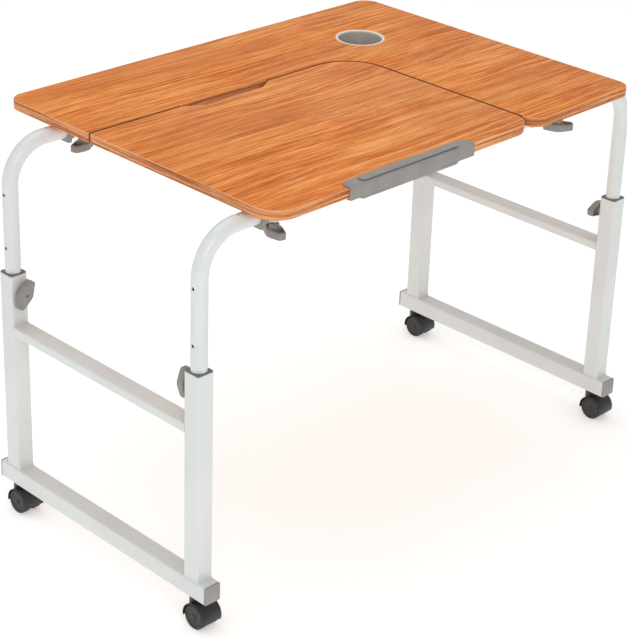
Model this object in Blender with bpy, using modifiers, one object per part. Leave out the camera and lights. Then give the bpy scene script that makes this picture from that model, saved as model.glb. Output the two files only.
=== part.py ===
"""Overbed table with a tilting reading panel: height-adjustable, width-adjustable, on four twin-wheel casters.

Metres, +Z up, +X along the long side, the user sits at -Y. Each sub-part is one named object.
"""

import math

import bmesh
import bpy
from mathutils import Matrix, Vector

for old in list(bpy.data.objects):
    bpy.data.objects.remove(old, do_unlink=True)

# ---------------------------------------------------------------- driving dimensions
GAP = 0.0003  # air between touching pieces
SHIFT_Y = 0.00175  # centres the footprint, which the stopper's front wall makes lopsided

TOP_L, TOP_W, TOP_T = 0.800, 0.600, 0.015
TOP_Z = 0.662  # upper face of both boards
UNDER_Z = TOP_Z - TOP_T
EDGE = 0.0010  # arris of the edge band
SEAM_X, SEAM_Y, SEAM_GAP = 0.1525, 0.0980, 0.0030
PANEL_INNER_R, OUTER_R, PANEL_FRONT_L_R, PANEL_FRONT_R_R, WING_FRONT_L_R = 0.070, 0.028, 0.040, 0.040, 0.026
GRIP_X = (-0.220, -0.186, -0.066, -0.036)  # finger cut-out: outer ends and flat part
GRIP_DEPTH = 0.0190

CUP_X, CUP_Y, CUP_R, CUP_DEPTH, CUP_FLANGE = 0.232, 0.1515, 0.042, 0.045, 0.0015

TUBE_R, TUBE_WALL, BEND_R = 0.0125, 0.0015, 0.065
LEG_X, LEG_FRONT_Y, LEG_REAR_Y = 0.473, -0.231, 0.198
AXIS_Z = 0.630  # centre height of the tubes and sleeves under the boards
TUBE_BOTTOM_Z, TUBE_INNER_X = 0.215, 0.100
SLEEVE_R, SLEEVE_WALL, SLEEVE_END_X = 0.015, 0.0020, 0.366

POST, POST_WALL, POST_TOP_Z = 0.030, 0.0015, 0.425
COLLAR_FLANGE, COLLAR_PLUG = 0.0025, 0.015
RAIL_Z0, RAIL_Z1, RAIL_OVERHANG = 0.050, 0.080, 0.018
MID_Z, MID_H = 0.330, 0.015
CAP_T, CAP_PLUG = 0.003, 0.010

KNOB_L, KNOB_W, KNOB_DROP, TABLE_KNOB_X = 0.048, 0.025, 0.031, {-1: -0.333, 1: 0.301}

WHEEL_R, WHEEL_W, TRAIL, WEB = 0.020, 0.0135, 0.010, 0.009

STOP_X0, STOP_X1, STOP_LIP_X0, STOP_LIP_X1 = -0.256, 0.008, -0.235, -0.028
STOP_WALL, STOP_TOP, STOP_DEPTH = 0.0032, 0.0022, 0.0245
LEDGE_X0, LEDGE_X1, LEDGE_W, LEDGE_T = -0.2265, -0.0215, 0.015, 0.003

COLLECTION = bpy.data.collections.new("overbed_table")
bpy.context.scene.collection.children.link(COLLECTION)


# ---------------------------------------------------------------- modelling helpers
def material(name, colour, roughness, metallic=0.0):
    made = bpy.data.materials.get(name)
    if made is None:
        made = bpy.data.materials.new(name)
        made.use_nodes = True
        shader = made.node_tree.nodes["Principled BSDF"]
        shader.inputs["Base Color"].default_value = (*colour, 1.0)
        shader.inputs["Roughness"].default_value = roughness
        shader.inputs["Metallic"].default_value = metallic
        made.diffuse_color = (*colour, 1.0)
    return made


WOOD = material("wood_laminate", (0.66, 0.25, 0.08), 0.45)
WHITE = material("white_powder_coat", (0.80, 0.81, 0.80), 0.40)
GREY = material("grey_plastic", (0.28, 0.27, 0.26), 0.50)
DARK_GREY = material("dark_grey_plastic", (0.11, 0.11, 0.11), 0.50)
CUP = material("cup_plastic", (0.62, 0.56, 0.50), 0.45)
BLACK = material("black_plastic", (0.022, 0.022, 0.022), 0.45)
TYRE = material("black_tread", (0.030, 0.030, 0.030), 0.60)
STEEL = material("zinc_steel", (0.55, 0.56, 0.57), 0.35, 1.0)


def rounded(corners, steps=5):
    """Corner list (x, y, radius) to the points of its outline."""
    out = []
    for index, (x, y, radius) in enumerate(corners):
        corner = Vector((x, y))
        if radius <= 0:
            out.append((x, y))
            continue
        before = (Vector(corners[index - 1][:2]) - corner).normalized()
        after = (Vector(corners[(index + 1) % len(corners)][:2]) - corner).normalized()
        half = before.angle(after) / 2
        reach = radius / math.tan(half)
        centre = corner + (before + after).normalized() * (radius / math.sin(half))
        start, end = corner + before * reach - centre, corner + after * reach - centre
        first = math.atan2(start.y, start.x)
        turn = (math.atan2(end.y, end.x) - first + math.pi) % (2 * math.pi) - math.pi
        for step in range(steps + 1):
            angle = first + turn * step / steps
            out.append((centre.x + radius * math.cos(angle), centre.y + radius * math.sin(angle)))
    return out


def box_outline(x0, x1, y0, y1, radius=0.0, steps=3):
    return rounded([(x0, y0, radius), (x1, y0, radius), (x1, y1, radius), (x0, y1, radius)], steps)


def circle(x, y, radius, count=24):
    turns = [2 * math.pi * step / count for step in range(count)]
    return [(x + radius * math.cos(turn), y + radius * math.sin(turn)) for turn in turns]


def evaluated(source):
    """The finished mesh of an object, its loose seams welded."""
    bpy.context.view_layer.update()
    shape = source.evaluated_get(bpy.context.evaluated_depsgraph_get())
    mesh = bpy.data.meshes.new_from_object(shape)
    work = bmesh.new()
    work.from_mesh(mesh)
    bmesh.ops.remove_doubles(work, verts=work.verts, dist=1e-6)
    bmesh.ops.recalc_face_normals(work, faces=work.faces)
    work.to_mesh(mesh)
    work.free()
    return mesh


def link(name, mesh):
    made = bpy.data.objects.new(name, mesh)
    COLLECTION.objects.link(made)
    return made


def plate(name, loops, low, high, arris=0.0):
    """Flat outline with holes, filled and extruded between two heights."""
    curve = bpy.data.curves.new(name, "CURVE")
    curve.dimensions = "2D"
    curve.fill_mode = "BOTH"
    curve.extrude = (high - low) / 2 - arris
    curve.bevel_depth = arris
    curve.bevel_resolution = 0
    curve.offset = -arris
    for loop in loops:
        spline = curve.splines.new("POLY")
        spline.points.add(len(loop) - 1)
        for point, (x, y) in zip(spline.points, loop):
            point.co = (x, y, 0.0, 1.0)
        spline.use_cyclic_u = True
    source = link(name + "_outline", curve)
    mesh = evaluated(source)
    bpy.data.objects.remove(source, do_unlink=True)
    bpy.data.curves.remove(curve)
    mesh.transform(Matrix.Translation((0, 0, (low + high) / 2)))
    return link(name, mesh)


def turned(name, profile, steps=24):
    """Profile (radius, height) turned about local Z; it runs down its outer side."""
    mesh = bpy.data.meshes.new(name)
    points = [(radius, 0.0, height) for radius, height in profile]
    count = len(points)
    closed = profile[0][0] > 1e-9
    edges = [(index, (index + 1) % count) for index in range(count if closed else count - 1)]
    mesh.from_pydata(points, edges, [])
    made = link(name, mesh)
    screw = made.modifiers.new("turn", "SCREW")
    screw.axis = "Z"
    screw.steps = screw.render_steps = steps
    screw.use_merge_vertices = True
    screw.merge_threshold = 0.00001
    screw.use_normal_calculate = True
    made.data = evaluated(made)
    made.modifiers.clear()
    return made


def cylinder(name, radius, low, high, count=16):
    return plate(name, [circle(0, 0, radius, count)], low, high)


def combine(target, others, operation):
    """Boolean the others into the target and drop them."""
    for other in others:
        modifier = target.modifiers.new("combine", "BOOLEAN")
        modifier.operation = operation
        modifier.solver = "EXACT"
        modifier.object = other
        target.data = evaluated(target)
        target.modifiers.clear()
        bpy.data.objects.remove(other, do_unlink=True)
    return target


def moved(made, matrix):
    """Move the mesh itself, so an object can keep its origin on an axis."""
    made.data.transform(matrix)
    return made


def finish(made, colour, location=(0, 0, 0), rotation=(0, 0, 0), smooth=None):
    made.data.materials.clear()
    made.data.materials.append(colour)
    made.location = (location[0], location[1] + SHIFT_Y, location[2])
    made.rotation_euler = rotation
    for face in made.data.polygons:
        face.use_smooth = smooth is not None
    if smooth is not None:
        made.data.set_sharp_from_angle(angle=math.radians(smooth))
    return made


ALONG_X = (math.radians(90), 0, math.radians(90))  # outline (y, z), extruded along X
ALONG_Y = (math.radians(90), 0, 0)  # outline (x, z), extruded along -Y
LEGS = (("left", -1), ("right", 1))
ENDS = (("front", LEG_FRONT_Y), ("rear", LEG_REAR_Y))

# ---------------------------------------------------------------- tabletop: fixed L-shaped board
edge_x, edge_y, half_gap = TOP_L / 2, TOP_W / 2, SEAM_GAP / 2
fixed_outline = rounded(
    [
        (SEAM_X + half_gap, -edge_y, WING_FRONT_L_R),
        (edge_x, -edge_y, OUTER_R),
        (edge_x, edge_y, OUTER_R),
        (-edge_x, edge_y, OUTER_R),
        (-edge_x, SEAM_Y + half_gap, 0.004),
        (SEAM_X + half_gap, SEAM_Y + half_gap, PANEL_INNER_R + SEAM_GAP),
    ],
    8,
)
fixed = plate("fixed_panel", [fixed_outline, circle(CUP_X, CUP_Y, CUP_R - 0.0035, 32)], UNDER_Z, TOP_Z, EDGE)
recess = cylinder("recess", CUP_R + 0.0003, TOP_Z - CUP_FLANGE - GAP, TOP_Z + 0.01, 32)
moved(recess, Matrix.Translation((CUP_X, CUP_Y, 0)))
finish(combine(fixed, [recess], "DIFFERENCE"), WOOD)

# ---------------------------------------------------------------- tabletop: tilting panel
hinge_y, hinge_z = LEG_FRONT_Y, AXIS_Z
panel_outline = rounded(
    [
        (-edge_x, -edge_y, PANEL_FRONT_L_R),
        (SEAM_X - half_gap, -edge_y, PANEL_FRONT_R_R),
        (SEAM_X - half_gap, SEAM_Y - half_gap, PANEL_INNER_R),
        (GRIP_X[3], SEAM_Y - half_gap, 0.006),
        (GRIP_X[2], SEAM_Y - half_gap - GRIP_DEPTH, 0.020),
        (GRIP_X[1], SEAM_Y - half_gap - GRIP_DEPTH, 0.020),
        (GRIP_X[0], SEAM_Y - half_gap, 0.006),
        (-edge_x, SEAM_Y - half_gap, 0.004),
    ],
    7,
)
panel = plate("tilt_panel", [panel_outline], UNDER_Z, TOP_Z, EDGE)
moved(panel, Matrix.Translation((0, -hinge_y, -hinge_z)))
finish(panel, WOOD, (0, hinge_y, hinge_z))

# ---------------------------------------------------------------- cup holder
cup = turned(
    "cup_holder",
    [
        (0.0, -CUP_DEPTH),
        (0.0275, -CUP_DEPTH),
        (0.0290, -CUP_DEPTH + 0.0015),
        (0.0298, -0.0300),
        (0.0335, -0.0215),
        (0.0365, -0.0120),
        (0.0378, -CUP_FLANGE - GAP),
        (CUP_R, -CUP_FLANGE),
        (CUP_R, -0.0004),
        (CUP_R - 0.0005, 0.0),
        (CUP_R - 0.0036, 0.0),
        (CUP_R - 0.0054, -0.0012),
        (0.0350, -0.0120),
        (0.0320, -0.0212),
        (0.0283, -0.0295),
        (0.0275, -CUP_DEPTH + 0.0025),
        (0.0260, -CUP_DEPTH + 0.0017),
        (0.0, -CUP_DEPTH + 0.0017),
    ],
    24,
)
finish(cup, CUP, (CUP_X, CUP_Y, TOP_Z), smooth=35)

# ---------------------------------------------------------------- sleeves, crossbars and rest tabs
for end, leg_y in ENDS:
    bore = SLEEVE_R - SLEEVE_WALL
    half = SLEEVE_END_X
    sleeve = turned(f"{end}_sleeve", [(SLEEVE_R, half), (SLEEVE_R, -half), (bore, -half), (bore, half)], 20)
    moved(sleeve, Matrix.Rotation(math.radians(90), 4, "Y"))
    # a nut for each clamp knob is welded under the sleeve
    nuts = [plate("nut", [circle(TABLE_KNOB_X[out], 0, 0.0065, 6)], -0.0180, -0.0135) for out in (-1, 1)]
    sleeve = combine(sleeve, nuts, "UNION")
    sleeve.name = f"{end}_sleeve"
    finish(sleeve, WHITE, (0, leg_y, AXIS_Z), smooth=35)

bar_outer = box_outline(-0.010, 0.010, -0.010, 0.010, 0.002, 1)
bar_inner = box_outline(-0.0085, 0.0085, -0.0085, 0.0085)
bar_y0, bar_y1 = LEG_FRONT_Y + SLEEVE_R + GAP, LEG_REAR_Y - SLEEVE_R - GAP
for side, bar_x in (("left", -0.245), ("right", 0.120)):
    bar = plate(f"crossbar_{side}", [bar_outer, bar_inner], -(bar_y1 - bar_y0) / 2, (bar_y1 - bar_y0) / 2)
    finish(bar, WHITE, (bar_x, (bar_y0 + bar_y1) / 2, AXIS_Z), ALONG_Y)

for side, tab_x in (("left", -0.320), ("right", 0.030)):
    tab = plate(f"rest_tab_{side}", [box_outline(-0.022, 0.022, -0.028, 0.030, 0.006, 2)], -0.0025, 0)
    finish(tab, STEEL, (tab_x, SEAM_Y, UNDER_Z - GAP))

# ---------------------------------------------------------------- pipe clips under the boards
clip_in, clip_out, foot = SLEEVE_R + 0.0004, SLEEVE_R + 0.0024, 0.034
foot_top, foot_low = UNDER_Z - GAP - AXIS_Z, UNDER_Z - GAP - AXIS_Z - 0.0020
clip_angles = [math.radians(22 - 224 * step / 14) for step in range(15)]
outer_arc = [(clip_out * math.cos(turn), clip_out * math.sin(turn)) for turn in clip_angles]
inner_arc = [(clip_in * math.cos(turn), clip_in * math.sin(turn)) for turn in reversed(clip_angles)]
clip_outline = (
    [(foot, foot_top), (foot, foot_low), (clip_out, foot_low)]
    + outer_arc
    + [(-clip_out, foot_low), (-foot, foot_low), (-foot, foot_top), (-clip_in + 0.0012, foot_top)]
    + inner_arc
    + [(clip_in - 0.0012, foot_top)]
)
CLIPS = (
    ("hinge_clip_left", -0.280, LEG_FRONT_Y),
    ("hinge_clip_right", 0.050, LEG_FRONT_Y),
    ("saddle_front_right", 0.240, LEG_FRONT_Y),
    ("saddle_rear_left", -0.280, LEG_REAR_Y),
    ("saddle_rear_right", 0.328, LEG_REAR_Y),
)
for name, clip_x, clip_y in CLIPS:
    clip = plate(name, [clip_outline], -0.014, 0.014)
    finish(clip, STEEL, (clip_x, clip_y, AXIS_Z), ALONG_X, 35)

# ---------------------------------------------------------------- end collars of the sleeves
for side, sign in LEGS:
    for end, leg_y in ENDS:
        # local +Z runs outwards along the sleeve, local +X points down
        ring = cylinder("ring", 0.0164, -0.009, 0.001, 24)
        # its top is round, clear of the tilting panel, and its lower half square
        corners = [(-0.0168, -0.0168, 0.0167), (0.0170, -0.0168, 0.004), (0.0170, 0.0168, 0.004), (-0.0168, 0.0168, 0.0167)]
        flange = plate("flange", [rounded(corners, 4)], 0.0, 0.0045)
        sleeve_bore = cylinder("sleeve_bore", SLEEVE_R + GAP, -0.05, GAP, 24)
        tube_bore = cylinder("tube_bore", TUBE_R + GAP, -0.05, 0.05, 24)
        collar = combine(ring, [flange], "UNION")
        collar = combine(collar, [sleeve_bore, tube_bore], "DIFFERENCE")
        collar.name = f"sleeve_collar_{side}_{end}"
        # +Z to +-X with +X to -Z
        matrix = Matrix(((0, 0, sign, 0), (0, sign, 0, 0), (-1, 0, 0, 0), (0, 0, 0, 1)))
        moved(collar, matrix)
        finish(collar, GREY, (sign * (SLEEVE_END_X + GAP), leg_y, AXIS_Z), smooth=35)

# ---------------------------------------------------------------- stopper on the tilting panel
section = [
    (-STOP_DEPTH, STOP_TOP),
    (-0.001, STOP_TOP),
    (0.0, STOP_TOP - 0.001),
    (0.0, -TOP_T - 0.0031),
    (-STOP_DEPTH + 0.002, -TOP_T - 0.0031),
    (-STOP_DEPTH + 0.002, -TOP_T - GAP),
    (-STOP_WALL, -TOP_T - GAP),
    (-STOP_WALL, GAP),
    (-STOP_DEPTH, GAP),
]
# outline (y, z) with y counted inwards from the wall's outer face
section = [(-y, z) for y, z in section]
stop_mid = (STOP_X0 + STOP_X1) / 2
stop_half = (STOP_X1 - STOP_X0) / 2
stopper = plate("stopper_clip", [section], -stop_half, stop_half)
moved(stopper, Matrix(((0, 0, 1, stop_mid), (1, 0, 0, 0), (0, 1, 0, 0), (0, 0, 0, 1))))
plan = rounded(
    [
        (STOP_X0, 0.0, 0.0015),
        (STOP_X1, 0.0, 0.0015),
        (STOP_X1, STOP_DEPTH, 0.012),
        (STOP_X0, STOP_DEPTH, 0.012),
    ],
    4,
)
lip_outline = box_outline(STOP_LIP_X0, STOP_LIP_X1, 0.0, STOP_DEPTH - 0.004)
lip = plate("lip", [lip_outline], -TOP_T - 0.0068, -TOP_T - 0.0025)
stopper = combine(stopper, [plate("plan", [plan], -0.05, 0.05)], "INTERSECT")
stopper = combine(stopper, [lip], "UNION")
stop_y = -edge_y - GAP - STOP_WALL
moved(stopper, Matrix.Translation((0, stop_y - hinge_y, TOP_Z - hinge_z)))
finish(stopper, GREY, (0, hinge_y, hinge_z))

ledge_y, ledge_z = stop_y + 0.0065, TOP_Z + STOP_TOP + GAP + LEDGE_T / 2
nose = LEDGE_T / 2
ledge_outline = box_outline(LEDGE_X0, LEDGE_X1, -nose, LEDGE_W - nose, LEDGE_W / 2 - 0.0002, 5)
ledge = plate("stopper_ledge", [ledge_outline], -LEDGE_T / 2, LEDGE_T / 2, 0.0011)
moved(ledge, Matrix.Translation((-stop_mid, 0, 0)))
finish(ledge, GREY, (stop_mid, ledge_y, ledge_z), smooth=35)

# ---------------------------------------------------------------- bent tubes
for side, sign in LEGS:
    for end, leg_y in ENDS:
        path = [(0, 0, TUBE_BOTTOM_Z - AXIS_Z)]
        for step in range(8):
            turn = math.radians(90) * step / 7
            path.append((BEND_R * (1 - math.cos(turn)), 0, BEND_R * (math.sin(turn) - 1)))
        path.append((LEG_X - TUBE_INNER_X, 0, 0))
        curve = bpy.data.curves.new("tube", "CURVE")
        curve.dimensions = "3D"
        curve.bevel_depth = TUBE_R
        curve.bevel_resolution = 6
        spline = curve.splines.new("POLY")
        spline.points.add(len(path) - 1)
        for point, (x, y, z) in zip(spline.points, path):
            point.co = (-sign * x, y, z, 1.0)
        source = link("tube_path", curve)
        tube = link(f"bent_tube_{side}_{end}", evaluated(source))
        bpy.data.objects.remove(source, do_unlink=True)
        wall = tube.modifiers.new("wall", "SOLIDIFY")
        wall.thickness = TUBE_WALL
        wall.offset = -1
        tube.data = evaluated(tube)
        tube.modifiers.clear()
        finish(tube, WHITE, (sign * LEG_X, leg_y, AXIS_Z), smooth=40)

# ---------------------------------------------------------------- leg frames
half, inner = POST / 2, POST / 2 - POST_WALL
square = box_outline(-half, half, -half, half, 0.0025, 2)
bore = box_outline(-inner, inner, -inner, inner, 0.001, 1)
post_low, post_high = RAIL_Z1 + GAP, POST_TOP_Z - COLLAR_FLANGE
knob_z = POST_TOP_Z - KNOB_DROP
for side, sign in LEGS:
    leg_x = sign * LEG_X
    for end, leg_y in ENDS:
        inward = 1 if end == "front" else -1
        post = plate(f"post_{side}_{end}", [square, bore], post_low - knob_z, post_high - knob_z)
        hole = cylinder("hole", 0.0040, half - 0.004, half + 0.004, 12)
        moved(hole, Matrix.Rotation(math.radians(-90 * inward), 4, "X"))
        finish(combine(post, [hole], "DIFFERENCE"), WHITE, (leg_x, leg_y, knob_z))

        flange = plate("flange", [square], 0, COLLAR_FLANGE - GAP)
        plug_half = inner - 0.0002
        plug = plate("plug", [box_outline(-plug_half, plug_half, -plug_half, plug_half, 0.002, 1)], -COLLAR_PLUG, 0.001)
        tube_bore = cylinder("tube_bore", TUBE_R + GAP, -0.05, 0.05, 24)
        collar = combine(combine(flange, [plug], "UNION"), [tube_bore], "DIFFERENCE")
        collar.name = f"post_collar_{side}_{end}"
        finish(collar, DARK_GREY, (leg_x, leg_y, post_high + GAP))

    rail_y0, rail_y1 = LEG_FRONT_Y - half - RAIL_OVERHANG, LEG_REAR_Y + half + RAIL_OVERHANG
    rail_mid, rail_half = (rail_y0 + rail_y1) / 2, (rail_y1 - rail_y0) / 2 - CAP_T
    rail = plate(f"bottom_rail_{side}", [square, bore], -rail_half, rail_half)
    finish(rail, WHITE, (leg_x, rail_mid, (RAIL_Z0 + RAIL_Z1) / 2), ALONG_Y)

    mid_half = (LEG_REAR_Y - LEG_FRONT_Y) / 2 - half - GAP
    mid_outer = box_outline(-half, half, -MID_H / 2, MID_H / 2, 0.0020, 2)
    mid_inner = box_outline(-inner, inner, -MID_H / 2 + POST_WALL, MID_H / 2 - POST_WALL)
    mid = plate(f"mid_rail_{side}", [mid_outer, mid_inner], -mid_half, mid_half)
    finish(mid, WHITE, (leg_x, (LEG_FRONT_Y + LEG_REAR_Y) / 2, MID_Z), ALONG_Y)

    for end, cap_y, out in (("front", rail_y0, -1), ("rear", rail_y1, 1)):
        cap = plate("cap", [square], 0, CAP_T - GAP, 0.0006)
        plug = plate("plug", [box_outline(-0.0132, 0.0132, -0.0132, 0.0132, 0.002, 1)], -CAP_PLUG, 0.001)
        cap = combine(cap, [plug], "UNION")
        cap.name = f"end_cap_{side}_{end}"
        moved(cap, Matrix.Rotation(math.radians(-90 * out), 4, "X"))
        finish(cap, GREY, (leg_x, cap_y - out * (CAP_T - GAP), (RAIL_Z0 + RAIL_Z1) / 2))

# ---------------------------------------------------------------- clamp knobs
# local +Z points away from the face the knob sits on, local X is the long way of the wings
wing_plan = rounded(
    [
        (-KNOB_L / 2, -0.0058, 0.0035),
        (0.0, -KNOB_W / 2, 0.012),
        (KNOB_L / 2, -0.0058, 0.0035),
        (KNOB_L / 2, 0.0058, 0.0035),
        (0.0, KNOB_W / 2, 0.012),
        (-KNOB_L / 2, 0.0058, 0.0035),
    ],
    2,
)
wing_side = [
    (-0.025, 0.0072),
    (0.025, 0.0072),
    (0.025, 0.0184),
    (0.008, 0.0198),
    (-0.008, 0.0198),
    (-0.025, 0.0184),
]
knob = plate("knob", [wing_plan], -0.01, 0.03)
side_cut = plate("side_cut", [wing_side], -0.02, 0.02)
moved(side_cut, Matrix.Rotation(math.radians(90), 4, "X"))
knob = combine(knob, [side_cut], "INTERSECT")
hub = turned("hub", [(0.0, 0.0120), (0.0075, 0.0120), (0.0075, 0.0005), (0.0030, 0.0005), (0.0030, -0.0021), (0.0, -0.0021)], 12)
knob = combine(knob, [hub], "UNION")
knob_mesh = knob.data.copy()
bpy.data.objects.remove(knob, do_unlink=True)

POST_KNOB_TURN = {"left_front": 90, "left_rear": 60, "right_front": -6, "right_rear": 90}
TABLE_KNOB_TURN = {"left_front": -77, "left_rear": -15, "right_front": 46, "right_rear": -30}
for side, sign in LEGS:
    for end, leg_y in ENDS:
        inward = 1 if end == "front" else -1
        post_knob = link(f"post_knob_{side}_{end}", knob_mesh.copy())
        moved(post_knob, Matrix.Rotation(math.radians(POST_KNOB_TURN[f"{side}_{end}"]), 4, "Z"))
        moved(post_knob, Matrix.Rotation(math.radians(-90 * inward), 4, "X"))
        finish(post_knob, GREY, (sign * LEG_X, leg_y + inward * half, knob_z), smooth=30)

        table_knob = link(f"table_knob_{side}_{end}", knob_mesh.copy())
        moved(table_knob, Matrix.Rotation(math.radians(TABLE_KNOB_TURN[f"{side}_{end}"]), 4, "Z"))
        moved(table_knob, Matrix.Rotation(math.radians(180), 4, "X"))
        drop = SLEEVE_R + 0.0055
        finish(table_knob, GREY, (TABLE_KNOB_X[sign], leg_y, AXIS_Z - drop), smooth=30)

# ---------------------------------------------------------------- casters
axle_z = WHEEL_R - RAIL_Z0
for side, sign in LEGS:
    for end, leg_y in ENDS:
        tag = f"{side}_{end}"
        # hood outline in (y, z) about the swivel axis under the rail
        arc = [math.radians(196 - 206 * step / 14) for step in range(15)]
        hood_r, hood_half = WHEEL_R + 0.0026, WEB / 2 + WHEEL_W + 0.0010
        hood_outline = [(-TRAIL + hood_r * math.cos(turn), axle_z + hood_r * math.sin(turn)) for turn in arc]
        hood = plate("hood", [hood_outline], -hood_half, hood_half)
        moved(hood, Matrix(((0, 0, 1, 0), (1, 0, 0, 0), (0, 1, 0, 0), (0, 0, 0, 1))))
        pockets = []
        for out in (-1, 1):
            pocket = cylinder("pocket", WHEEL_R + 0.0010, 0, 0.03, 24)
            moved(pocket, Matrix(((0, 0, out, out * WEB / 2), (1, 0, 0, -TRAIL), (0, out, 0, axle_z), (0, 0, 0, 1))))
            pockets.append(pocket)
        boss = cylinder("boss", 0.0125, -0.0160, -GAP, 20)
        hood = combine(combine(hood, [boss], "UNION"), pockets, "DIFFERENCE")
        axle = cylinder("axle", 0.0030, -0.0155, 0.0155, 12)
        moved(axle, Matrix(((0, 0, 1, 0), (1, 0, 0, -TRAIL), (0, 1, 0, axle_z), (0, 0, 0, 1))))
        hood = combine(hood, [axle], "UNION")
        hood.name = f"caster_hood_{tag}"
        finish(hood, BLACK, (sign * LEG_X, leg_y, RAIL_Z0), smooth=35)
        for wheel_side, out in (("outer", sign), ("inner", -sign)):
            wheel = turned(
                f"caster_wheel_{tag}_{wheel_side}",
                [
                    (0.0, WHEEL_W),
                    (0.0175, WHEEL_W),
                    (WHEEL_R, WHEEL_W - 0.0030),
                    (WHEEL_R, 0.0010),
                    (0.0190, GAP),
                    (0.0033, GAP),
                    (0.0033, WHEEL_W - 0.0025),
                    (0.0, WHEEL_W - 0.0025),
                ],
                20,
            )
            place = (sign * LEG_X + out * WEB / 2, leg_y - TRAIL, WHEEL_R)
            finish(wheel, TYRE, place, (0, math.radians(90 * out), 0), 35)
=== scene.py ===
import math

import bmesh
import bpy
from mathutils import Matrix, Vector


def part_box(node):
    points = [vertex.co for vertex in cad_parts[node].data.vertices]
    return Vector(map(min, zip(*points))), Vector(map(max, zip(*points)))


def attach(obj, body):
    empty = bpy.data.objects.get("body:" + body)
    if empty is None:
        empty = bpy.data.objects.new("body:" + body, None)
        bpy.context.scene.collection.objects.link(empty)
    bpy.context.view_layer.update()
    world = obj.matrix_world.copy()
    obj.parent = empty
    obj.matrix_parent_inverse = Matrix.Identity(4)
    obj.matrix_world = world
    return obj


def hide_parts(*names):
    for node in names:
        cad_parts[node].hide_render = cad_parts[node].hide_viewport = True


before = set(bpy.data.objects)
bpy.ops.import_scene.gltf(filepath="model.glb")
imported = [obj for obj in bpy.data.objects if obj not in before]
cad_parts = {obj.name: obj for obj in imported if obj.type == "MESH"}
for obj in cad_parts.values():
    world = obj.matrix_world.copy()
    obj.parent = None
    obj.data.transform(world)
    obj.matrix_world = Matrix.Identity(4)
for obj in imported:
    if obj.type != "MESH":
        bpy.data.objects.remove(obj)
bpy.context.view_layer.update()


# ==================================================================================================
# Fixed board: the L-shaped back strip and right wing. 15 mm chipboard with a printed wood laminate on
# both faces and a thin plastic band round the edge, cut with a round opening for the cup holder.
# It is screwed down onto three saddles on the sleeves.
# ==================================================================================================
class Wire:
    """One socket of a finish, so that shader maths reads as an expression."""

    def __init__(self, finish, socket):
        self.finish, self.socket = finish, socket

    def maths(self, operation, *values):
        return self.finish.node("ShaderNodeMath", {"operation": operation}, dict(enumerate(values)))

    def __add__(self, other): return self.maths("ADD", self, other)
    def __radd__(self, other): return self.maths("ADD", other, self)
    def __sub__(self, other): return self.maths("SUBTRACT", self, other)
    def __rsub__(self, other): return self.maths("SUBTRACT", other, self)
    def __mul__(self, other): return self.maths("MULTIPLY", self, other)
    def __rmul__(self, other): return self.maths("MULTIPLY", other, self)
    def __truediv__(self, other): return self.maths("DIVIDE", self, other)
    def __rtruediv__(self, other): return self.maths("DIVIDE", other, self)
    def __abs__(self): return self.maths("ABSOLUTE", self)
    def __gt__(self, other): return self.maths("GREATER_THAN", self, other)
    def __lt__(self, other): return self.maths("LESS_THAN", self, other)
    def sine(self): return self.maths("SINE", self)
    def fraction(self): return self.maths("FRACT", self)
    def most(self, other): return self.maths("MAXIMUM", self, other)

    def between(self, low, high):
        """0 below low, 1 above high, eased in between."""
        settings = {"interpolation_type": "SMOOTHSTEP"}
        return self.finish.node("ShaderNodeMapRange", settings, {"Value": self, "From Min": low, "From Max": high})

    def scaled(self, x, y, z):
        """A vector wire stretched along each axis."""
        return self.finish.node("ShaderNodeVectorMath", {"operation": "MULTIPLY"}, {0: self, 1: (x, y, z)})

    def split(self):
        return [self.finish.node("ShaderNodeSeparateXYZ", {}, {0: self}, axis) for axis in ("X", "Y", "Z")]


class Finish:
    """A material in the making, on one Principled shader."""

    def __init__(self, name, roughness=0.5, metallic=0.0, coat=0.0):
        self.material = bpy.data.materials.new(name)
        self.material.use_nodes = True
        self.nodes, self.links = self.material.node_tree.nodes, self.material.node_tree.links
        self.shader = self.nodes["Principled BSDF"]
        self.shader.inputs["Roughness"].default_value = roughness
        self.shader.inputs["Metallic"].default_value = metallic
        self.shader.inputs["Coat Weight"].default_value = coat
        self.place = self.node("ShaderNodeTexCoord", {}, {}, "Object")
        self.facing = self.node("ShaderNodeTexCoord", {}, {}, "Normal")

    def node(self, kind, settings, sockets, output=0):
        """Any node: its settings go in first, then the values or links of its sockets."""
        made = self.nodes.new(kind)
        for key, value in settings.items():
            if key == "stops":
                ramp = made.color_ramp.elements
                while len(ramp) < len(value):
                    ramp.new(0.5)
                for stop, (position, colour) in zip(ramp, value):
                    stop.position, stop.color = position, (*colour, 1.0)
            else:
                setattr(made, key, value)
        for key, value in sockets.items():
            socket = made.inputs[key]
            if isinstance(value, Wire):
                self.links.new(value.socket, socket)
            else:
                socket.default_value = value
        return Wire(self, made.outputs[output])

    def noise(self, where, scale, detail=2.0, roughness=0.5):
        sockets = {"Vector": where, "Scale": scale, "Detail": detail, "Roughness": roughness}
        return self.node("ShaderNodeTexNoise", {}, sockets)

    def joined(self, x, y, z):
        return self.node("ShaderNodeCombineXYZ", {}, {0: x, 1: y, 2: z})

    def mix(self, mask, one, other):
        """One colour where the mask is 0 and the other where it is 1."""
        one, other = [(*c, 1.0) if isinstance(c, tuple) else c for c in (one, other)]
        return self.node("ShaderNodeMix", {"data_type": "RGBA"}, {0: mask, 6: one, 7: other}, 2)

    def ramp(self, value, *stops):
        return self.node("ShaderNodeValToRGB", {"stops": stops}, {0: value})

    def drive(self, socket, wire):
        self.links.new(wire.socket, self.shader.inputs[socket])

    def bump(self, height, distance, strength=1.0):
        sockets = {"Height": height, "Distance": distance, "Strength": strength}
        self.drive("Normal", self.node("ShaderNodeBump", {}, sockets))


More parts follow.
